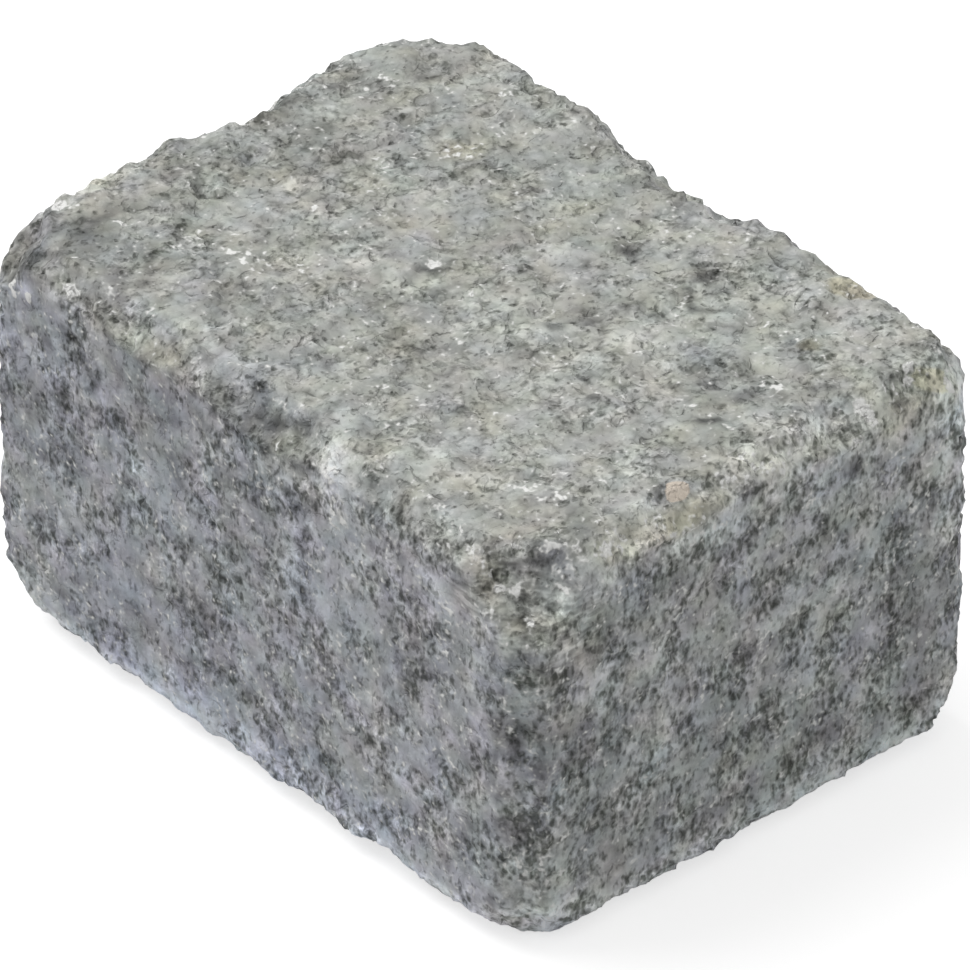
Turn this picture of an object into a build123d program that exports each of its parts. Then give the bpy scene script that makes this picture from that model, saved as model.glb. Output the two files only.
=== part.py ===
from build123d import *
import os

# A tumbled concrete paver: one block of dense concrete, pressed in a steel mould
# and then turned in a drum with others, which knocks its arrises and corners back
# and leaves them rounded. It lies on its foot at Z = 0, with the wearing face up.
# The origin is the middle of the foot. X runs along the block and Y across it.

# The block as it leaves the mould, in millimetres
length = 140.0
width = 104.0
height = 80.0

# The drum's rounding of every knocked edge
edge_rounding = 5.0

# How deep each arris is knocked, below the first face and below the second
arris_wear = {
    ("top", "near_side"): (6.5, 5.5),
    ("top", "far_side"): (5.5, 5.5),
    ("top", "left_end"): (5.5, 5.5),
    ("top", "right_end"): (7.0, 6.0),
    ("foot", "near_side"): (5.0, 5.5),
    ("foot", "far_side"): (5.0, 5.0),
    ("foot", "left_end"): (5.0, 5.5),
    ("foot", "right_end"): (5.0, 5.0),
    ("near_side", "left_end"): (5.0, 5.0),
    ("near_side", "right_end"): (6.5, 7.0),
    ("far_side", "left_end"): (6.0, 6.5),
    ("far_side", "right_end"): (6.0, 5.5),
}

# How deep each corner is knocked, below its three faces
corner_wear = {
    ("top", "near_side", "right_end"): (26.0, 18.0, 18.0),
    ("top", "near_side", "left_end"): (15.5, 16.0, 20.0),
    ("top", "far_side", "left_end"): (19.5, 20.5, 20.0),
    ("top", "far_side", "right_end"): (13.5, 13.5, 13.5),
    ("foot", "near_side", "right_end"): (16.0, 16.5, 16.0),
    ("foot", "near_side", "left_end"): (17.0, 17.0, 16.5),
    ("foot", "far_side", "right_end"): (16.0, 15.0, 15.5),
    ("foot", "far_side", "left_end"): (13.5, 14.0, 14.0),
}

# Chips knocked out of worn arrises and corners: the faces that meet there, where
# the chip's middle lies along the arris, how wide the chip is, how deep it goes,
# and the rounding of its rim
chips = [
    (("top", "far_side"), -14.0, 20.0, 3.2, 1.5),
    (("top", "far_side"), 0.0, 30.0, 3.8, 1.5),
    (("top", "left_end"), 6.0, 26.0, 2.6, 2.0),
    (("top", "near_side"), 2.0, 28.0, 1.8, 1.5),
    (("foot", "near_side"), 33.0, 12.0, 1.2, 0.8),
    (("top", "near_side", "right_end"), 0.0, 22.0, 2.0, 1.5),
    (("top", "near_side", "left_end"), 0.0, 18.0, 1.4, 1.2),
    (("top", "far_side"), -38.0, 16.0, 1.0, 0.8),
    (("top", "right_end"), -16.0, 13.0, 1.3, 0.8),
    (("top", "right_end"), 20.0, 15.0, 1.6, 0.8),
    (("top", "near_side"), -30.0, 20.0, 1.3, 0.8),
    (("near_side", "right_end"), 45.0, 13.0, 1.3, 0.8),
    (("near_side", "right_end"), 26.0, 13.0, 1.2, 0.8),
]

# The six faces of the block, each as a plane that looks outwards
faces = {
    "top": Plane(origin=(0, 0, height), z_dir=(0, 0, 1)),
    "foot": Plane(origin=(0, 0, 0), z_dir=(0, 0, -1)),
    "near_side": Plane(origin=(0, -width / 2, 0), z_dir=(0, -1, 0)),
    "far_side": Plane(origin=(0, width / 2, 0), z_dir=(0, 1, 0)),
    "left_end": Plane(origin=(-length / 2, 0, 0), z_dir=(-1, 0, 0)),
    "right_end": Plane(origin=(length / 2, 0, 0), z_dir=(1, 0, 0)),
}
wear = {**arris_wear, **corner_wear}


def meeting_point(names):
    """Where these faces meet: a corner, or the point of an arris beside the origin."""
    return sum((faces[name].origin for name in names), Vector())


def knocked_plane(names):
    """The plane that the drum leaves where these faces meet."""
    outward = Vector()
    for name, depth in zip(names, wear[names]):
        outward += faces[name].z_dir / depth
    start = meeting_point(names) - faces[names[0]].z_dir * wear[names][0]
    return Plane(origin=start, z_dir=outward)


def chip_ball(names, along, chip_width, depth):
    """The middle and the radius of the ball that takes a chip out of a knocked plane."""
    worn = knocked_plane(names)
    corner = meeting_point(names)
    crest = corner - worn.z_dir * (corner - worn.origin).dot(worn.z_dir)
    if len(names) == 2:
        across = faces[names[0]].z_dir.cross(faces[names[1]].z_dir)
        crest += Vector(abs(across.X), abs(across.Y), abs(across.Z)) * along
    radius = (chip_width**2 / 4 + depth**2) / (2 * depth)
    return crest + worn.z_dir * (radius - depth), radius


with BuildPart() as paver:
    with BuildSketch():
        Rectangle(length, width)
    extrude(amount=height)

    for names in wear:
        split(bisect_by=knocked_plane(names), keep=Keep.BOTTOM)
    fillet(paver.edges(), radius=edge_rounding)

    for names, along, chip_width, depth, rim_rounding in chips:
        middle, radius = chip_ball(names, along, chip_width, depth)
        with Locations(middle):
            Sphere(radius, mode=Mode.SUBTRACT)
        bowls = paver.faces(Select.LAST).filter_by(GeomType.SPHERE)
        fillet(bowls.sort_by(SortBy.AREA)[-1].edges(), radius=rim_rounding)

paver.part.label = "paver"

os.makedirs("parts", exist_ok=True)
export_step(paver.part, "parts/paver.step")
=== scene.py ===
from math import cos, pi, radians, sin

import bpy
import numpy as np
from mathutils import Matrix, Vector, noise


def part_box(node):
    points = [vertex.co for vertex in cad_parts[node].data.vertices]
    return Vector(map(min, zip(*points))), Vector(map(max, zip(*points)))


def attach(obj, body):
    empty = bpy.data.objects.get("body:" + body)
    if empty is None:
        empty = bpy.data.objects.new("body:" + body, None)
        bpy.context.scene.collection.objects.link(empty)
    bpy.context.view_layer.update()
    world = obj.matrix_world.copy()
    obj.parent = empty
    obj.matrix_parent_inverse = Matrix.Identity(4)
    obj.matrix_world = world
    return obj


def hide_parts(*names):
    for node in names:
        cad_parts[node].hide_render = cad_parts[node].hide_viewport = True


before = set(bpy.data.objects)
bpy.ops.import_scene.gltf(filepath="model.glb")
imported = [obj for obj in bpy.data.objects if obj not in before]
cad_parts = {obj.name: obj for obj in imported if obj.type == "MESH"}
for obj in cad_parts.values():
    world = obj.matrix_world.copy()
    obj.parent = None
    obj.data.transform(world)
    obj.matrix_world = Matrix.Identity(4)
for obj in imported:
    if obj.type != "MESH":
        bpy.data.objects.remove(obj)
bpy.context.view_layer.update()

# The block
# One block of dense grey concrete, pressed in a steel mould and then tumbled in a
# drum with others. Its faces keep the mould's flatness, and its arrises are worn round.
mm = 0.001
mesh_step = 0.88 * mm
rounding_passes = 14
rounding_share = 0.5

worn_block = bpy.data.objects.new("worn_block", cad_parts["paver"].data.copy())
bpy.context.scene.collection.objects.link(worn_block)
even_mesh = worn_block.modifiers.new("even_mesh", "REMESH")
even_mesh.mode = "VOXEL"
even_mesh.voxel_size = mesh_step
rounding = worn_block.modifiers.new("rounding", "SMOOTH")
rounding.factor = rounding_share
rounding.iterations = rounding_passes


def apply_modifiers(piece):
    """Gives the piece the mesh that its modifiers make, and takes the modifiers off."""
    view = bpy.context.evaluated_depsgraph_get()
    made = bpy.data.meshes.new_from_object(piece.evaluated_get(view))
    piece.modifiers.clear()
    piece.data = made


apply_modifiers(worn_block)
low, high = (np.array(corner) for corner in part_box("paver"))


def points_of(mesh):
    """The mesh's points and the directions that they face, as two arrays."""
    points = np.empty(len(mesh.vertices) * 3, np.float32)
    outward = np.empty(len(mesh.vertices) * 3, np.float32)
    mesh.vertices.foreach_get("co", points)
    mesh.vertices.foreach_get("normal", outward)
    return points.reshape(-1, 3).astype(float), outward.reshape(-1, 3).astype(float)


def ramp(values, start, end):
    """From 0 at start to 1 at end, and level at both."""
    t = np.clip((values - start) / (end - start), 0, 1)
    return t * t * (3 - 2 * t)


points, outward = points_of(worn_block.data)

# How much a point belongs to the wearing face, to an end, and to a worn arris or corner
wearing = ramp(outward[:, 2], 0.35, 0.85)
end = ramp(np.abs(outward[:, 0]), 0.35, 0.85)
arris = 1 - ramp(np.abs(outward).max(1), 0.80, 0.985)


# Its relief
# The pressed face is lumpy and splits into small plates, with short open fissures
# between them. The sides are smoother, as the mould left them, with the sand showing.
plate_size = 10.0 * mm
grain_size = 3.6 * mm
wander = 1.2 * mm

# How much weaker each finer octave of the noise is, and how many times finer
falloff, finer_by = 1.0, 2.1

# Keeps the values of neighbouring cells apart
cell_shuffle = 7.3


def field(size, octaves, seed):
    """Smooth noise from about -1 to 1 at every point, with features of this size."""
    return np.array([noise.fractal(Vector(p), falloff, finer_by, octaves) for p in points / size + seed])


def cells(size, seed):
    """Each point's distance to the middle of its cell, as a share of the size, the rise
    that its cell's own tilt gives it, and its cell's own height."""
    found = []
    for p in warped / size + seed:
        far, middles = noise.voronoi(Vector(p))
        own = noise.cell_vector(middles[0] * cell_shuffle)
        found.append((far[0], (Vector(p) - middles[0]).dot(own), own.x))
    return np.array(found).T


# The points, moved about a little, so that the cells get ragged edges
warped = points + wander * np.stack([field(4 * mm, 2, seed) for seed in (3.1, 5.7, 9.3)], 1)
_, plate_tilt, plate_height = cells(plate_size, 20.0)
grain_heart, grain_tilt, grain_height = cells(grain_size, 40.0)

# Some places are skinned over with paste and smooth, and others are broken up and rough
busy = ramp(field(7 * mm, 2, 31.0), -0.40, 0.45)
rough = (0.55 + 0.90 * busy) * (0.75 + 0.50 * ramp(field(2.5 * mm, 1, 33.0), -0.4, 0.4)) + 0.25 * arris

wave = field(26 * mm, 2, 1.7)
lumps = field(6 * mm, 3, 4.2)
fine = field(2.4 * mm, 3, 8.8)

# A fissure runs where the split is 0, and gapes where it is open
split = field(9 * mm, 3, 61.0)
gaping = ramp(field(3 * mm, 1, 14.0), 0.08, 0.45) * (0.40 + 0.40 * wearing + 0.25 * busy)
fissure = (1 - ramp(np.abs(split), 0.02, 0.15)) * gaping

# How far the surface rises and falls, in millimetres
relief = (
    wave * (0.18 + 0.30 * arris)
    + lumps * (0.10 + 0.06 * rough + 0.22 * wearing + 0.50 * arris)
    + fine * (0.16 + 0.08 * wearing + 0.14 * arris) * rough
    + plate_height * (0.04 + 0.30 * wearing)
    + plate_tilt * (0.10 + 0.55 * wearing)
    + grain_tilt * (0.25 + 0.15 * arris) * rough
    - grain_heart**2 * 0.30 * rough
    - fissure * 0.60
)

# Its marks
# What the eye picks out on the block: stones and bruises, holes and broken places, light
# and dark patches, stains, and knocks that took an arris in or left it proud.

# Each runs from one place to another, in millimetres, with its reach and its strength.
# A tone is lighter or darker, a pale mark has more pale sand, and a dark one more pits.
# A warm mark is yellower or bluer, and a knock moves the surface by its strength.
marks = [
    # The left corner
    ("tone", (-61, -51, 71), (-59, -51, 71), 2.6, 0.50),
    ("tone", (-52, -50, 74), (-51, -50, 74), 2.2, 0.45),
    ("tone", (-66, -47, 75), (-55, -43, 78.5), 9.0, -0.45),
    ("tone", (-55, -37, 80), (-43, -42, 80), 7.0, -0.18),
    ("pale", (-62.5, -51, 70), (-61.5, -51, 68.5), 2.2, 1.3),
    ("pale", (-57.5, -51, 69.5), (-57, -51, 69), 1.2, 2.2),
    ("pale", (-48, -50, 75.5), (-46.5, -50, 75.5), 1.4, 2.8),
    ("pale", (-62, -46, 77), (-61, -46, 77), 1.6, 0.9),
    ("pale", (-63, -45, 77), (-56, -40, 79), 8.0, -0.7),
    ("dark", (-66, -47, 75), (-48, -45, 79), 8.0, 0.30),
    ("warm", (-66, -46, 76), (-56, -42, 79), 9.0, 0.2),
    ("warm", (-49, -42, 79), (-47, -40, 79), 6.0, -1.0),
    ("knock", (-69, -46, 69), (-69, -43.5, 73), 4.0, 0.75),
    ("knock", (-68.5, -41, 76), (-68, -40, 77), 3.0, -0.45),
    # The wearing face
    # The short dark tone lines that follow are painted shade: shadows along small cracks, and one under
    # a pale stone
    ("tone", (-9.5, -5.5, 79), (-6.5, -2, 79), 1.2, -0.70),
    ("tone", (24.5, 25, 79), (30, 21.5, 79), 1.3, -0.60),
    ("tone", (30, 21.5, 79), (33.5, 26, 79), 1.3, -0.50),
    ("tone", (9, 5.5, 80), (9.5, 6, 80), 1.6, -0.70),
    ("tone", (18.5, 0, 80), (19, 0.5, 80), 1.8, -0.60),
    ("tone", (31, -7, 79), (32, -5.5, 79), 1.3, -0.80),
    ("tone", (38, -8.5, 80), (38.5, -8, 80), 1.5, -0.70),
    ("tone", (54.5, 1, 79), (56.5, 2.5, 79), 1.7, -0.85),
    ("tone", (19.5, 31, 79), (24.5, 29.5, 79), 2.4, -0.45),
    ("tone", (8, 26.5, 79), (12, 24.5, 79), 1.5, -0.50),
    ("tone", (23, 8, 79), (29, 2, 79), 1.3, -0.40),
    ("tone", (44, 5, 79), (48.5, 4, 79), 1.6, -0.45),
    ("tone", (29, 6, 79), (29, 12.5, 79), 4.5, 0.22),
    ("tone", (-60, -16, 80), (-54, -8, 80), 6.0, -0.14),
    ("tone", (-60, 6, 80), (-47, 9, 80), 7.0, -0.28),
    ("tone", (-64, 14, 79), (-55, 28, 80), 6.0, -0.16),
    ("tone", (-29, -42, 80), (-20, -30, 80), 7.0, -0.28),
    ("tone", (-22, 26, 80), (-16, 32, 80), 6.0, -0.08),
    ("tone", (-9, 8, 80), (-4, 11, 80), 6.0, 0.14),
    ("tone", (4, -29, 80), (6, -27, 80), 5.0, 0.12),
    ("tone", (22, -45, 79), (34, -39, 80), 7.0, 0.30),
    ("tone", (27, 9, 80), (31, 13, 80), 6.0, 0.14),
    ("tone", (40, -2, 80), (44, 2, 80), 6.0, 0.32),
    ("tone", (20, -2, 80), (25, -1, 80), 6.0, 0.26),
    ("tone", (26, -35, 80), (28, -34, 80), 5.0, 0.22),
    ("tone", (41, -38, 80), (44, -36, 80), 5.0, 0.28),
    ("tone", (35, 24, 80), (39, 26, 80), 5.0, -0.25),
    ("tone", (-26, -6, 80), (-24, 4, 80), 5.0, -0.22),
    ("tone", (-10, 32, 80), (-7, 35, 80), 5.0, -0.20),
    ("tone", (-60, 28, 79), (-50, 25, 79), 5.0, -0.16),
    ("tone", (-45, -28, 80), (-42, -35, 80), 4.0, -0.25),
    ("tone", (46, 10, 80), (54, 14, 80), 6.0, -0.18),
    ("tone", (46, -17, 80), (48, -19, 80), 6.0, -0.12),
    ("tone", (50, 29, 79.5), (51, 29.5, 79.5), 1.4, -0.50),
    ("tone", (-42, 31, 79), (-41, 31, 79), 4.5, -0.20),
    ("tone", (-53, 18, 79), (-52, 18, 79), 4.0, -0.18),
    ("pale", (-53, -34, 80), (-52, -34, 80), 1.6, 1.8),
    ("pale", (-42, -28, 80), (-38, -27, 80), 1.8, 0.9),
    ("pale", (-37, -26, 80), (-32, -24, 80), 1.8, 0.8),
    ("pale", (-44, -30, 80), (-34, -25, 80), 5.0, 0.3),
    ("pale", (-55, -34.5, 80), (-54, -34, 80), 1.6, 1.4),
    ("pale", (-32, -27, 79), (-27, -22, 79), 3.0, 0.5),
    ("pale", (-20, -20, 80), (-13, -18, 80), 5.0, 0.3),
    ("pale", (-56, 26, 80), (-55, 27, 80), 2.4, 0.5),
    ("pale", (-41, 9, 80), (-38, 11, 80), 2.4, 0.6),
    ("pale", (-33, 22, 80), (-30, 24, 80), 3.2, 0.8),
    ("pale", (-9.5, -2.5, 79), (-9, -1, 79), 1.5, 1.5),
    ("pale", (22, -8, 80), (30, -3, 80), 4.0, 0.3),
    ("pale", (20, -31, 80), (21, -30, 80), 2.2, 0.6),
    ("pale", (35, -16, 80), (36, -16, 80), 1.8, 0.6),
    ("pale", (48, -34, 80), (52, -30, 80), 2.0, 1.0),
    ("pale", (52, -34, 80), (55, -30, 80), 2.0, 0.9),
    ("pale", (51.5, 13.5, 79), (52.5, 14.5, 79), 2.0, 0.9),
    ("pale", (55.5, 17, 79), (56, 17.5, 79), 1.2, 1.1),
    ("dark", (-46, -26, 80), (-42, -32, 80), 1.5, 1.1),
    ("dark", (-42, -32, 80), (-42, -38, 80), 1.5, 1.1),
    ("dark", (-48, 22, 80), (-47, 23, 80), 2.4, 0.8),
    ("dark", (22, 31, 80), (23, 32, 80), 2.8, 0.8),
    ("dark", (52, 27, 80), (53, 29, 80), 3.2, 0.9),
    ("dark", (53, 17.5, 79.5), (54, 18, 79.5), 2.4, 1.0),
    ("dark", (52, 43.5, 79), (53, 44, 79), 2.2, 1.0),
    ("warm", (-15, -48, 79), (4, -34, 80), 5.0, -0.7),
    ("warm", (-22, -26, 80), (-20, -24, 80), 5.0, -0.5),
    ("warm", (-33, 22, 80), (-30, 24, 80), 3.5, 1.2),
    ("warm", (41, 45, 80), (44, 47, 79), 3.0, 3.0),
    ("warm", (50, 29, 79.5), (51, 29.5, 79.5), 1.8, 2.0),
    ("scrape", (49, -36, 80), (66, -30, 77), 5.0, 0.6),
    # The left and far arrises
    ("tone", (-66, -39, 78), (-67, -26, 78), 3.2, 0.55),
    ("pale", (-64, -38, 79), (-62, -37, 79), 2.2, 1.4),
    ("pale", (-65, -39, 78.5), (-64.5, -38, 78.5), 1.3, 1.8),
    ("knock", (-66, -32, 79), (-66, -31, 79), 3.5, -0.5),
    ("knock", (-69, -12, 76), (-68, -11, 77), 4.0, 0.9),
    ("knock", (-66, -10, 79.5), (-65, -5, 79), 3.2, -0.8),
    ("knock", (-68.5, 12, 75), (-68.5, 13, 75), 3.0, -0.45),
    ("knock", (-68, 26, 76.5), (-67, 30, 77.5), 5.0, 1.1),
    ("knock", (-57, 46, 79), (-55, 46, 79), 3.5, -0.6),
    ("knock", (-42, 48, 79.5), (-32, 49, 78.5), 4.0, -0.15),
    ("knock", (-26, 50, 75.5), (-25, 50, 75.5), 3.0, 0.7),
    ("knock", (-18, 51, 73), (-17, 51, 73), 2.0, -0.5),
    ("knock", (-15, 51, 72), (-14, 51, 72), 2.0, 0.9),
    ("knock", (-8, 51, 71.5), (-7, 51, 71.5), 2.5, -0.6),
    ("knock", (-3, 51, 71.5), (-2, 51, 71.5), 2.5, 0.9),
    ("knock", (11, 46, 78.5), (13, 46, 79.5), 4.0, -2.2),
    ("knock", (19, 49, 78.5), (20, 49, 78.5), 3.0, -0.8),
    ("knock", (39, 47, 79), (41, 47, 79), 3.0, 0.5),
    ("knock", (57.5, 51, 76.5), (59, 51, 76), 3.0, -0.85),
    ("knock", (61, 48, 78.5), (62, 48, 78.5), 3.0, -0.9),
    ("knock", (64, 51, 74), (65, 50, 73), 3.0, 0.5),
    ("knock", (67, 49, 51), (67, 49, 49), 3.5, 0.65),
    # The near side and its arris
    ("tone", (-50, -51, 66), (-48, -51, 62), 2.2, 0.45),
    ("tone", (-64, -51, 70), (16, -51, 74), 5.0, -0.12),
    ("tone", (-2, -50, 75), (15, -50, 76), 5.5, -0.20),
    ("tone", (19, -50, 77), (22, -51, 68), 5.0, 0.58),
    ("tone", (44, -51, 70), (48, -51, 66), 6.0, 0.12),
    ("tone", (-57, -51, 66), (-39, -51, 64), 5.0, -0.15),
    ("tone", (-46, -51, 45), (-45, -51, 37), 4.5, -0.18),
    ("tone", (-52, -51, 33), (-51, -51, 30), 5.0, -0.24),
    ("tone", (43, -51, 34), (44, -51, 32), 5.0, -0.20),
    ("tone", (25, -51, 64), (25, -51, 62), 4.5, -0.20),
    ("tone", (-58, -51, 48), (-56, -51, 39), 6.0, -0.26),
    ("tone", (-37, -51, 44), (-30, -51, 40), 6.0, 0.10),
    ("tone", (-24, -51, 50), (-17, -51, 64), 5.0, -0.12),
    ("tone", (4, -51, 49), (7, -51, 37), 4.0, -0.14),
    ("tone", (33, -51, 43), (33, -51, 41), 4.5, -0.24),
    ("tone", (-35, -51, 24), (-33, -51, 20), 5.0, -0.14),
    ("tone", (-60, -51, 63), (-59, -51, 62), 4.0, -0.20),
    ("tone", (-9, -51, 40), (-8, -51, 39), 4.5, 0.22),
    ("tone", (13, -51, 68), (14, -51, 68), 3.5, 0.20),
    ("tone", (40, -50, 76), (41, -50, 76), 3.5, 0.20),
    ("pale", (-16, -51, 62), (-11, -51, 59), 2.2, 0.5),
    ("pale", (20, -51, 76), (23, -51, 68), 3.0, 0.8),
    ("pale", (49, -51, 63), (51, -51, 55), 3.0, 0.5),
    ("pale", (23, -51, 45), (24, -51, 43), 2.2, 0.5),
    ("pale", (50.5, -51, 65), (52, -51, 63), 1.8, 0.8),
    ("dark", (4, -51, 35), (4, -51, 33), 2.6, 0.8),
    ("dark", (43, -51, 44), (43, -51, 42), 2.6, 0.7),
    ("warm", (-53, -51, 23), (-14, -51, 20), 7.0, -0.5),
    ("warm", (6, -51, 68), (28, -51, 70), 4.5, 0.8),
    ("warm", (42, -51, 44), (43, -51, 40), 5.0, 0.6),
    ("warm", (45, -50, 76), (56, -47, 75), 4.0, 0.7),
    ("warm", (-60, -51, 74), (16, -51, 76), 4.0, 0.6),
    ("warm", (-60, -51, 50), (10, -51, 50), 30.0, -0.25),
    # The front corner, and the arris below it
    ("tone", (56, -46, 78), (63, -45, 78), 3.6, 0.42),
    ("tone", (58, -46.5, 75), (68, -35.5, 75.5), 1.0, -0.22),
    ("tone", (60, -48, 69.5), (67, -42, 70), 1.0, -0.20),
    ("tone", (68, -46, 65), (69.5, -42, 65.5), 3.6, 0.22),
    ("tone", (62, -50, 66), (65, -49, 61), 4.0, -0.20),
    ("tone", (69, -38, 68), (69.5, -35, 62), 4.5, -0.36),
    ("tone", (65.5, -48.5, 56), (69, -46.5, 59), 1.8, -0.35),
    ("tone", (69, -46.5, 59), (69.5, -41, 55.5), 2.0, -0.35),
    ("tone", (58, -47, 73), (68, -41, 70), 8.0, -0.04),
    ("tone", (65, -49, 56), (69, -42, 56), 4.0, -0.22),
    ("tone", (62, -50, 52), (66, -48, 50), 5.0, -0.35),
    ("tone", (68, -47, 41), (69, -46, 38), 5.0, -0.26),
    ("tone", (68, -45, 51), (69, -42, 49), 4.0, 0.10),
    ("tone", (66, -47, 46), (67, -46, 42), 4.5, -0.20),
    ("tone", (70, -41, 44), (70, -38, 40), 5.0, -0.18),
    ("tone", (66, -48, 20), (68, -44, 13), 7.0, 0.25),
    ("tone", (54, -51, 74), (56, -50, 73), 3.0, -0.25),
    ("tone", (60, -50, 70), (61, -49, 69), 3.0, -0.25),
    ("tone", (69, -44, 47), (69, -43, 46), 3.5, -0.20),
    ("pale", (55, -48.5, 77), (56, -48, 77), 1.5, 0.6),
    ("pale", (59, -43, 78), (60, -42.5, 78), 1.5, 1.1),
    ("pale", (62.5, -40, 78), (63.5, -39.5, 78), 1.2, 0.9),
    ("pale", (64.5, -38, 78), (66, -36.5, 78), 1.2, 0.9),
    ("pale", (64.5, -40.5, 74.5), (65, -40, 74.5), 1.0, 1.4),
    ("pale", (66.5, -40.5, 72), (69, -38.5, 72.5), 1.0, 1.2),
    ("pale", (61, -50.5, 68.5), (62, -50, 68.5), 1.4, 0.8),
    ("pale", (59.5, -48, 71.5), (61.5, -45.5, 71), 1.1, 2.2),
    ("pale", (65.5, -46.5, 67.5), (66, -46, 67), 1.2, 1.5),
    ("pale", (66, -48, 20), (68, -44, 14), 5.0, 0.4),
    ("dark", (58, -46.5, 73), (59, -46.5, 73), 1.6, 0.7),
    ("dark", (62, -46, 70), (67, -42, 69), 4.0, -0.5),
    ("dark", (66, -48, 56.5), (69.5, -43.5, 57), 2.4, 1.0),
    ("dark", (66, -48, 28), (67, -47, 26), 3.4, 0.8),
    ("warm", (58, -49, 72), (69, -40, 60), 8.0, 0.7),
    ("warm", (65, -49, 65), (69, -42, 65), 4.0, 0.8),
    ("warm", (68, -44, 49), (69, -41, 46), 4.5, 0.7),
    ("warm", (66, -48, 20), (68, -44, 13), 7.0, 0.5),
    ("scrape", (57, -50, 72), (69, -40, 65), 9.0, 1.2),
    # The right arris
    ("tone", (69.5, -28, 76), (69.5, 50, 73), 8.0, 0.52),
    ("tone", (66, -4, 78), (66, 14, 78), 4.5, 0.25),
    ("tone", (65, 22, 78), (65, 27, 78), 4.0, 0.35),
    ("tone", (70, 8, 71), (70, 12, 68), 5.0, 0.48),
    ("tone", (68, -16, 76), (70, -11, 74), 4.5, -0.50),
    ("tone", (70, 17, 73), (70, 22, 70), 5.0, -0.28),
    ("tone", (69, 33, 76), (69, 35, 74), 3.5, -0.25),
    ("tone", (63.5, -17, 79), (64, -16.5, 79), 1.4, -0.75),
    ("tone", (66, -11.5, 77.5), (66.5, -11, 77), 1.3, -0.75),
    ("tone", (65, -15.5, 77), (66.5, -13, 77), 0.9, -0.60),
    ("tone", (69, -1.5, 73.5), (69, 1, 73), 2.4, -0.45),
    ("tone", (62.5, 15, 79.5), (65, 12.5, 79), 0.9, -0.70),
    ("tone", (65.5, 13.5, 78), (66, 16, 77), 2.5, 0.35),
    ("tone", (68, 32.5, 75), (68.5, 34, 75), 1.3, -0.70),
    ("pale", (66.5, -32.5, 77), (67.5, -29, 76), 2.4, 1.1),
    ("pale", (67, -6, 78), (68.5, -2, 76), 2.4, 0.9),
    ("pale", (67, 1, 77), (69, 7, 74.5), 1.8, 1.0),
    ("pale", (68, 11, 78), (70, 13, 73), 4.0, 0.4),
    ("pale", (65.5, 26, 77.5), (66, 26.5, 77.5), 1.4, 2.3),
    ("pale", (67, 26.5, 76), (67.5, 27, 75), 1.8, 2.2),
    ("pale", (69, 22, 72.5), (69, 23.5, 72), 1.8, 1.5),
    ("pale", (65, 38, 78.5), (65.5, 38.5, 78.5), 1.3, 2.2),
    ("pale", (66, 36.5, 77), (66, 37, 77), 1.1, 2.0),
    ("pale", (68.5, 44.5, 74), (69, 45, 73), 1.4, 2.3),
    ("dark", (69, -1.5, 73.5), (69, 1, 73), 2.6, 1.0),
    ("dark", (65, -19, 79), (69, -17, 77), 1.6, 0.8),
    ("warm", (69, 24, 70), (69, 44, 72), 5.0, 0.7),
    ("warm", (67, 39.5, 76.5), (68, 43, 75), 2.2, 5.0),
    ("warm", (66, -34, 77), (70, -8, 75), 4.5, 0.8),
    ("warm", (69, -30, 75), (69, 46, 75), 5.0, 0.5),
    ("pink", (65, -14.5, 78), (65.5, -13, 78), 2.0, 1.6),
    # The right end
    ("tone", (70, 28, 59), (70, 32, 57), 5.0, 0.25),
    ("tone", (69, 22.5, 68), (69, 23, 66.5), 2.0, -0.55),
    ("tone", (69, 39, 54), (69, 41, 52), 2.4, -0.40),
    ("tone", (70, -28, 48), (70, -25, 45), 5.0, -0.20),
    ("tone", (70, -34, 20), (70, -24, 17), 7.0, -0.15),
    ("tone", (70, -31, 62), (70, -18, 66), 6.0, -0.10),
    ("tone", (70, -22, 55), (70, -12, 60), 6.0, 0.12),
    ("tone", (70, -20, 46), (70, -16, 45), 5.0, -0.14),
    ("tone", (70, 9, 20), (70, 13, 17), 6.0, -0.16),
    ("tone", (70, 34, 36), (68, 46, 33), 8.0, -0.34),
    ("tone", (68, 46, 72), (68, 46, 47), 7.0, 0.60),
    ("tone", (69, -7, 38), (69, -6, 37), 4.5, 0.20),
    ("pale", (69, 39.5, 60.5), (69, 42, 62.5), 1.1, 1.7),
    ("pale", (70, 33, 47), (70, 36, 47), 2.4, 0.6),
    ("pale", (70, 36, 56), (70, 40, 53), 3.5, 0.4),
    ("pale", (70, -22, 54), (70, -16, 58), 4.5, 0.3),
    ("dark", (70, 31, 49), (70, 38, 50), 1.4, 0.9),
    # Along the foot: mostly lighter bands of painted light from the pale floor, a bluer band, and knocks
    ("tone", (-58, -51, 4), (60, -51, 4), 7.0, 0.40),
    ("tone", (-12, -51, 7), (-4, -51, 7), 6.0, 0.28),
    ("tone", (16, -51, 7), (21, -51, 7), 5.0, 0.28),
    ("tone", (63, -46, 5), (69, -38, 6), 6.0, 0.30),
    ("tone", (69, -44, 5), (69, 46, 7), 6.0, 0.40),
    ("tone", (69, -8, 5), (69, 1, 5), 5.0, 0.35),
    ("tone", (69, 26, 6), (69, 28, 6), 5.0, 0.25),
    ("tone", (-14, -51, 12), (-2, -51, 12), 7.0, 0.10),
    ("tone", (20, -51, 12), (36, -51, 10), 9.0, 0.12),
    ("tone", (69, -31, 12), (69, -30, 12), 4.5, -0.18),
    ("warm", (-40, -51, 8), (40, -51, 8), 9.0, -0.9),
    ("knock", (67, 30, 1.5), (66, 31, 1.5), 3.0, -0.5),
    ("knock", (67, 3, 2), (67, 4, 2), 3.0, -0.6),
    ("knock", (68, -30, 3), (68, -29, 3), 3.0, -0.65),
    ("knock", (62, -44, 1.5), (64, -43, 1.5), 4.0, 0.55),
    ("knock", (58, -51, 4.5), (59, -51, 4.5), 3.0, -0.6),
    ("knock", (30, -48, 1.5), (31, -48, 1.5), 2.5, -0.6),
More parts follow.
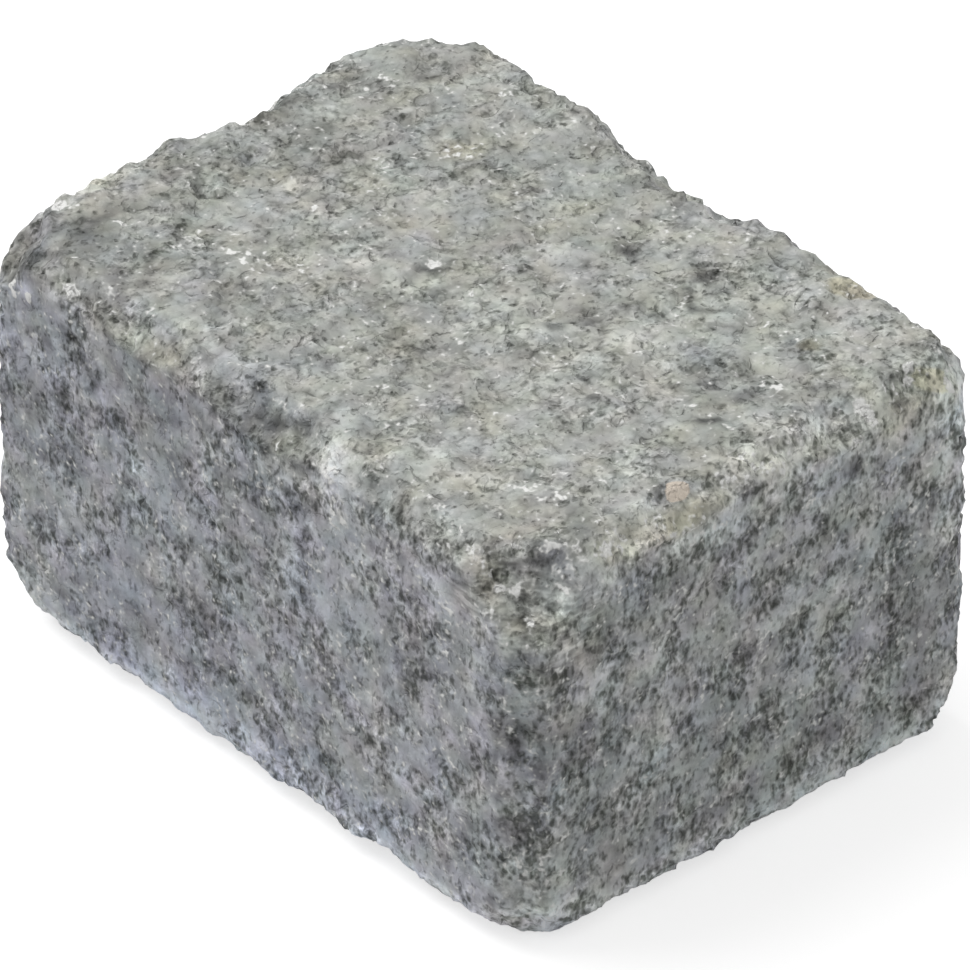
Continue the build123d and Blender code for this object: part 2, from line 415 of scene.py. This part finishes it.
    ("knock", (21, -50, 5), (27, -50, 4.5), 4.0, 0.9),
    ("knock", (1, -50, 4.5), (7, -50, 3), 4.0, 0.65),
    ("knock", (-14, -50, 3), (-13, -50, 3), 4.0, 0.6),
    ("knock", (-38, -50, 3.5), (-36, -50, 3.5), 3.0, 0.45),
    ("knock", (-55, -51, 4), (-54, -51, 4), 3.5, -0.7),
]


def spread(kind):
    """How much every point lies under the marks of this kind."""
    total = np.zeros(len(points))
    for start, finish, reach, strength in (mark[1:] for mark in marks if mark[0] == kind):
        start, finish = np.array(start) * mm, np.array(finish) * mm
        along = finish - start
        share = np.clip((warped - start) @ along / max(along @ along, mm**2), 0, 1)
        far = np.linalg.norm(warped - start - share[:, None] * along, axis=1)
        total += strength * np.clip(1 - (far / (reach * mm)) ** 2, 0, 1)
    return total


def keep(name, values):
    """Writes a value at every point of the block, for its material to read."""
    made = worn_block.data.attributes.new(name, "FLOAT", "POINT")
    made.data.foreach_set("value", values.astype(np.float32))


# The relief and the knocks move the surface, and the other marks lie on it where it is
# then. On the flat faces the crests of the relief lie in the mould's planes.
crest = np.percentile(relief[arris < 0.1], 99.5)
depth = relief - crest * (1 - arris) - 0.03 * arris + spread("knock")
surface_points = np.clip(points + outward * depth[:, None] * mm, low, high)
warped = surface_points + 0.5 * (warped - points)

# How light each place is, against the block's mean, and how broken up, with painted shade in hollows and
# fissures and painted light on the foot
bruised = arris * ramp(field(8 * mm, 3, 34.0), -0.05, 0.40)
broken = arris * ramp(field(7 * mm, 3, 37.0), -0.05, 0.40)
# How low a place lies; low places are darkened partly as dust and partly with painted shade
dust_and_shade_in_hollows = ramp(relief, -0.2, -1.0)
# Painted light: the downward-facing foot is made lighter, standing in for light thrown up from the pale
# floor
painted_floor_light_on_foot = ramp(-outward[:, 2], 0.05, 0.60)
tone = (
    0.24 * field(14 * mm, 2, 40.0)
    + (0.26 - 0.08 * wearing) * field(6 * mm, 1, 43.0)
    + (0.32 - 0.10 * wearing) * field(3 * mm, 1, 44.0) * rough
    + 0.30 * ramp(field(4.5 * mm, 2, 54.0), 0.22, 0.60)
    - 0.28 * ramp(field(4.5 * mm, 2, 57.0), 0.25, 0.60)
    + 0.06 * plate_height
    + 0.08 * grain_height
    + 0.18 * bruised
    - 0.18 * broken
    # Painted shade in low places, partly dust, and in fissures
    - 0.10 * dust_and_shade_in_hollows
    - 0.10 * fissure
    # Painted light from the floor on the foot
    + 0.85 * painted_floor_light_on_foot
    + spread("tone")
)

# The material reads these, and takes 0.5 of a tone, a green or a warm value as the mean
keep("wearing", wearing)
keep("end", end)
keep("tone", 0.5 + 0.5 * tone)
keep("rough", rough)
green = 0.7 * field(4 * mm, 1, 46.0) + 0.6 * field(12 * mm, 1, 47.0)
keep("green", 0.5 + green * (1 - 0.35 * wearing))
keep("warm", 0.5 + 0.22 * field(9 * mm, 2, 49.0) + 0.14 * field(3 * mm, 1, 50.0) + 0.25 * spread("warm"))
keep("pink", spread("pink"))
keep("scraped", spread("scrape"))
torn = 0.16 * busy * (1 - 0.6 * wearing) + 0.04 * broken + 0.05 * end - 0.02 * wearing - 0.05
keep("pitted", torn + 0.20 * spread("dark") - 0.04 * spread("scrape"))
sandy = ramp(field(5 * mm, 2, 52.0), -0.2, 0.5)
keep("paleness", 0.22 * spread("pale") + 0.08 * sandy + 0.06 * bruised - 0.03 * wearing * (1 - sandy))
keep("split", split)
keep("gaping", gaping)

worn_block.data.vertices.foreach_set("co", surface_points.ravel().astype(np.float32))
worn_block.data.update()
worn_block.data.shade_smooth()


# Its concrete
# Grey cement paste with crushed sand in it: light and dark grains, and small pits
# where grains were torn out. The paste shades from greenish grey to bluish grey.
# Shade in its pits, creases and fissures is painted into its colour
mottle_size = 1.9 * mm
streak_size = 1.7 * mm
mound_size = 1.5 * mm
pit_size = 1.2 * mm
sand_size = 1.3 * mm
side_grey = (0.388, 0.405, 0.445, 1)
end_grey = (0.440, 0.462, 0.486, 1)
wearing_grey = (0.367, 0.380, 0.369, 1)
painted_crack_shade = (0.050, 0.053, 0.046)
pale_sand = (0.80, 0.80, 0.77)
white_sand = (0.95, 0.95, 0.93)
pink_sand = (0.78, 0.68, 0.57)


def add(tree, kind, inputs=None, **settings):
    """A node of this kind. Each input is a value, or an output of another node."""
    node = tree.nodes.new("ShaderNode" + kind)
    for name, value in settings.items():
        setattr(node, name, value)
    for socket, value in (inputs or {}).items():
        if isinstance(value, bpy.types.NodeSocket):
            tree.links.new(value, node.inputs[socket])
        else:
            node.inputs[socket].default_value = value
    return node


def sum_up(tree, operation, a, b, clamp=False):
    """The output of a maths node that takes a and b through this operation."""
    return add(tree, "Math", {0: a, 1: b}, operation=operation, use_clamp=clamp).outputs[0]


def times_and(tree, a, b, c):
    """The output of a maths node that takes a times b and adds c."""
    return add(tree, "Math", {0: a, 1: b, 2: c}, operation="MULTIPLY_ADD").outputs[0]


def step_up(tree, value, start, end):
    """The output of a node that rises from 0 at start to 1 at end."""
    inputs = {"Value": value, "From Min": start, "From Max": end}
    return add(tree, "MapRange", inputs, interpolation_type="SMOOTHSTEP").outputs["Result"]


def blend(tree, share, a, b, kind="MIX"):
    """The output of a node that mixes colour b over colour a."""
    mixer = add(tree, "Mix", data_type="RGBA", blend_type=kind)
    sockets = {s.identifier: s for s in mixer.inputs}
    for name, value in (("Factor_Float", share), ("A_Color", a), ("B_Color", b)):
        if isinstance(value, bpy.types.NodeSocket):
            tree.links.new(value, sockets[name])
        else:
            sockets[name].default_value = value
    return [s for s in mixer.outputs if s.identifier == "Result_Color"][0]


concrete = bpy.data.materials.new("tumbled_concrete")
concrete.use_nodes = True
mix = concrete.node_tree
surface = mix.nodes["Principled BSDF"]


def read(name):
    """A value that the block's mesh keeps."""
    return add(mix, "Attribute", attribute_name=name).outputs["Fac"]


def noise_at(place, size, detail, offset, roughness=0.6):
    """A noise texture with features of this size, moved so that it doesn't repeat another."""
    moved = add(mix, "VectorMath", {0: place, 1: (offset, offset, offset)}, operation="ADD").outputs[0]
    inputs = {"Vector": moved, "Scale": 1 / size, "Detail": detail, "Roughness": roughness}
    return add(mix, "TexNoise", inputs).outputs


def over(share, strength, colour_below, colour_above):
    """A colour laid over another where the share says, up to this strength."""
    return blend(mix, sum_up(mix, "MULTIPLY", share, strength), colour_below, (*colour_above, 1))


def shade(colour_below, share, darkest, lightest):
    """A colour made darker where the share is 0, and lighter where it is 1."""
    tone = blend(mix, share, (*darkest, 1), (*lightest, 1))
    return blend(mix, 1.0, colour_below, tone, "MULTIPLY")


here = add(mix, "TexCoord").outputs["Object"]

# The mould slides up off the block, so what shows on the sides is drawn out upwards
drawn = add(mix, "VectorMath", {0: here, 1: (1.0, 1.0, 0.90)}, operation="MULTIPLY").outputs[0]

# Cement paste: cloudy, and shading from purplish to greenish and from bluish to warm
mottle = noise_at(drawn, mottle_size, 2.5, 0.7, 0.66)["Fac"]
wearing_here = read("wearing")
calm = sum_up(mix, "MULTIPLY", wearing_here, 0.32)
rough_here = read("rough")
contrast = sum_up(mix, "MULTIPLY", rough_here, sum_up(mix, "SUBTRACT", 0.90, calm))
mottle_light = times_and(mix, sum_up(mix, "SUBTRACT", mottle, 0.5), contrast, 0.5)
colour = blend(mix, read("end"), side_grey, end_grey)
colour = blend(mix, wearing_here, colour, wearing_grey)
colour = shade(colour, read("tone"), (0.0, 0.0, 0.01), (2.0, 2.0, 1.99))
colour = shade(colour, read("green"), (1.02, 0.98, 1.02), (0.975, 1.015, 0.985))
colour = shade(colour, read("warm"), (0.94, 0.99, 1.10), (1.10, 1.02, 0.82))
colour = shade(colour, mottle_light, (0.0, 0.0, 0.0), (2.0, 2.0, 2.0))

# Level streaks where a knock has scraped a corner
flat = add(mix, "VectorMath", {0: here, 1: (0.40, 0.40, 1.60)}, operation="MULTIPLY").outputs[0]
streak = step_up(mix, noise_at(flat, streak_size, 1.0, 1.9)["Fac"], 0.35, 0.65)
scrape = read("scraped")
scraped = blend(mix, streak, (0.70, 0.70, 0.69, 1), (1.32, 1.32, 1.31, 1))
scraped = blend(mix, scrape, (1, 1, 1, 1), scraped)
colour = blend(mix, 1.0, colour, scraped, "MULTIPLY")

# Small mounds, with soft creases between them that are darkened with painted shade
shift = sum_up(mix, "MULTIPLY", mottle, 0.8 * mm)
mound_place = add(mix, "VectorMath", {0: drawn, 1: shift}, operation="ADD").outputs[0]
mound = add(mix, "TexVoronoi", {"Vector": mound_place, "Scale": 1 / mound_size}, feature="F1")
crease_depth_and_shade = step_up(mix, mound.outputs["Distance"], 0.45, 1.05)
creased = sum_up(mix, "MULTIPLY", rough_here, times_and(mix, wearing_here, 0.5, 0.3))
crease_depth_and_shade = sum_up(mix, "MULTIPLY", crease_depth_and_shade, creased)
# Painted shade: the creases are darkened in the colour, and are also sunk in the bump below
colour = shade(colour, crease_depth_and_shade, (1.04, 1.04, 1.04), (0.60, 0.61, 0.59))

# Short fissures between the plates, darkened with painted shade
raggedness = 0.36
ragged = times_and(mix, mottle, raggedness, read("split"))
beside = sum_up(mix, "ABSOLUTE", sum_up(mix, "SUBTRACT", ragged, raggedness / 2), 0.0)
width = sum_up(mix, "MULTIPLY", read("gaping"), 0.10)
crack = step_up(mix, sum_up(mix, "SUBTRACT", beside, width), 0.03, -0.09)

# Pits where sand has come out, darkened with painted shade, and flecks of pale sand
pitted = read("pitted")
upright = add(mix, "VectorMath", {0: here, 1: (1.0, 1.0, 0.70)}, operation="MULTIPLY").outputs[0]
hollow = sum_up(mix, "ADD", noise_at(upright, pit_size, 1.5, 1.3)["Fac"], pitted)
pit_depth_and_shade = sum_up(mix, "MULTIPLY", sum_up(mix, "SUBTRACT", hollow, 0.53), 4.0, clamp=True)
pale = sum_up(mix, "ADD", noise_at(here, sand_size, 1.0, 1.1)["Fac"], read("paleness"))
fleck = step_up(mix, pale, 0.57, 0.88)
# Painted shade: the fissures are darkened in the colour
colour = over(crack, 0.25, colour, painted_crack_shade)
# Painted shade: the pits are darkened in the colour, standing in for the shade inside them
colour = shade(colour, pit_depth_and_shade, (1.0, 1.0, 1.0), (0.24, 0.25, 0.23))
colour = over(fleck, 0.62, colour, pale_sand)
colour = over(step_up(mix, pale, 0.70, 0.84), 0.70, colour, white_sand)
colour = over(step_up(mix, read("pink"), 0.35, 0.70), 0.85, colour, pink_sand)
mix.links.new(colour, surface.inputs["Base Color"])

# The fine relief that the mesh is too coarse for, in millimetres
streaked = sum_up(mix, "MULTIPLY", streak, scrape)
rises = (
    (mottle_light, 0.55), (crease_depth_and_shade, -0.35), (crack, -0.30), (pit_depth_and_shade, -0.35), (fleck, 0.10), (streaked, 0.12),
)
height = 0.0
for layer, rise in rises:
    height = sum_up(mix, "ADD", height, sum_up(mix, "MULTIPLY", layer, rise))
bump = add(mix, "Bump", {"Height": height, "Distance": 1 * mm, "Strength": 1.0})
mix.links.new(bump.outputs["Normal"], surface.inputs["Normal"])
surface.inputs["Roughness"].default_value = 0.9
surface.inputs["Specular IOR Level"].default_value = 0.4

worn_block.data.materials.clear()
worn_block.data.materials.append(concrete)
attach(worn_block, "root")
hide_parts("paver")

# The floor
# A plain pale studio floor, flat under the block. It looks white to the camera and
# keeps the block's shadow.
floor_reach = 12.0
floor_grey = 0.56
floor_glow = 0.65

floor_mesh = bpy.data.meshes.new("floor")
corners = [(x * floor_reach, y * floor_reach, 0) for x, y in ((-1, -1), (1, -1), (1, 1), (-1, 1))]
floor_mesh.from_pydata(corners, [], [(0, 1, 2, 3)])
floor = bpy.data.objects.new("floor", floor_mesh)
bpy.context.scene.collection.objects.link(floor)


def shown_in(tree):
    """1 for the rays that show something to the camera, and 0 for those that only light."""
    ray = add(tree, "LightPath").outputs
    shown = sum_up(tree, "MAXIMUM", ray["Is Camera Ray"], ray["Is Glossy Ray"])
    return sum_up(tree, "MAXIMUM", shown, ray["Is Transmission Ray"])


floor_paint = bpy.data.materials.new("pale_floor")
floor_paint.use_nodes = True
paint = floor_paint.node_tree
coat = paint.nodes["Principled BSDF"]
coat.inputs["Base Color"].default_value = (floor_grey, floor_grey, floor_grey, 1)
coat.inputs["Roughness"].default_value = 1.0
coat.inputs["Specular IOR Level"].default_value = 0.0
coat.inputs["Emission Color"].default_value = (1, 1, 1, 1)
paint.links.new(sum_up(paint, "MULTIPLY", shown_in(paint), floor_glow), coat.inputs["Emission Strength"])
floor.data.materials.append(floor_paint)

# The light
# A soft studio lamp, high over the left end of the block, in a pale room that lights the
# block from all round and most from above.
all_round_light = 0.30
overhead_light = 0.42
lamp_light = 0.50 * pi
lamp_height, lamp_turn = radians(58), radians(-68)
lamp_softness = radians(40)

room = bpy.data.worlds.new("studio")
bpy.context.scene.world = room
room.use_nodes = True
sky = room.node_tree
upward = add(sky, "SeparateXYZ", {0: add(sky, "TexCoord").outputs["Generated"]}).outputs["Z"]
from_above = sum_up(sky, "MULTIPLY", sum_up(sky, "MAXIMUM", upward, 0.0), overhead_light)
glow = sum_up(sky, "ADD", all_round_light, from_above)
shown = shown_in(sky)
strength = sum_up(sky, "ADD", sum_up(sky, "MULTIPLY", glow, sum_up(sky, "SUBTRACT", 1.0, shown)), shown)
sky.links.new(strength, sky.nodes["Background"].inputs["Strength"])
sky.nodes["Background"].inputs["Color"].default_value = (1, 1, 1, 1)


def direction(turn, height):
    """The direction this far round from the block's near side and this high, by angles."""
    return Vector((sin(turn) * cos(height), -cos(turn) * cos(height), sin(height)))


lamp = bpy.data.objects.new("soft_lamp", bpy.data.lights.new("soft_lamp", "SUN"))
lamp.data.energy = lamp_light
lamp.data.angle = lamp_softness
lamp.rotation_euler = direction(lamp_turn, lamp_height).to_track_quat("Z", "Y").to_euler()
bpy.context.scene.collection.objects.link(lamp)

# The camera
# The photograph's own view: down on the front corner, from far off, with a long lens
# whose frame the block just fills.
view_turn, view_height, view_distance = radians(48.79), radians(35.85), 2.168
lens_length, film_width = 473.5, 36
sight_limit = 50
aim = Vector((1.6, -0.1, 38.2)) * mm
toward_camera = direction(view_turn, view_height)
camera = bpy.data.objects.new("camera", bpy.data.cameras.new("camera"))
camera.location = aim + toward_camera * view_distance
camera.rotation_euler = toward_camera.to_track_quat("Z", "Y").to_euler()
camera.data.lens = lens_length
camera.data.sensor_width = film_width
camera.data.clip_end = sight_limit
bpy.context.scene.collection.objects.link(camera)
bpy.context.scene.camera = camera
bpy.context.scene.view_settings.view_transform = "Standard"
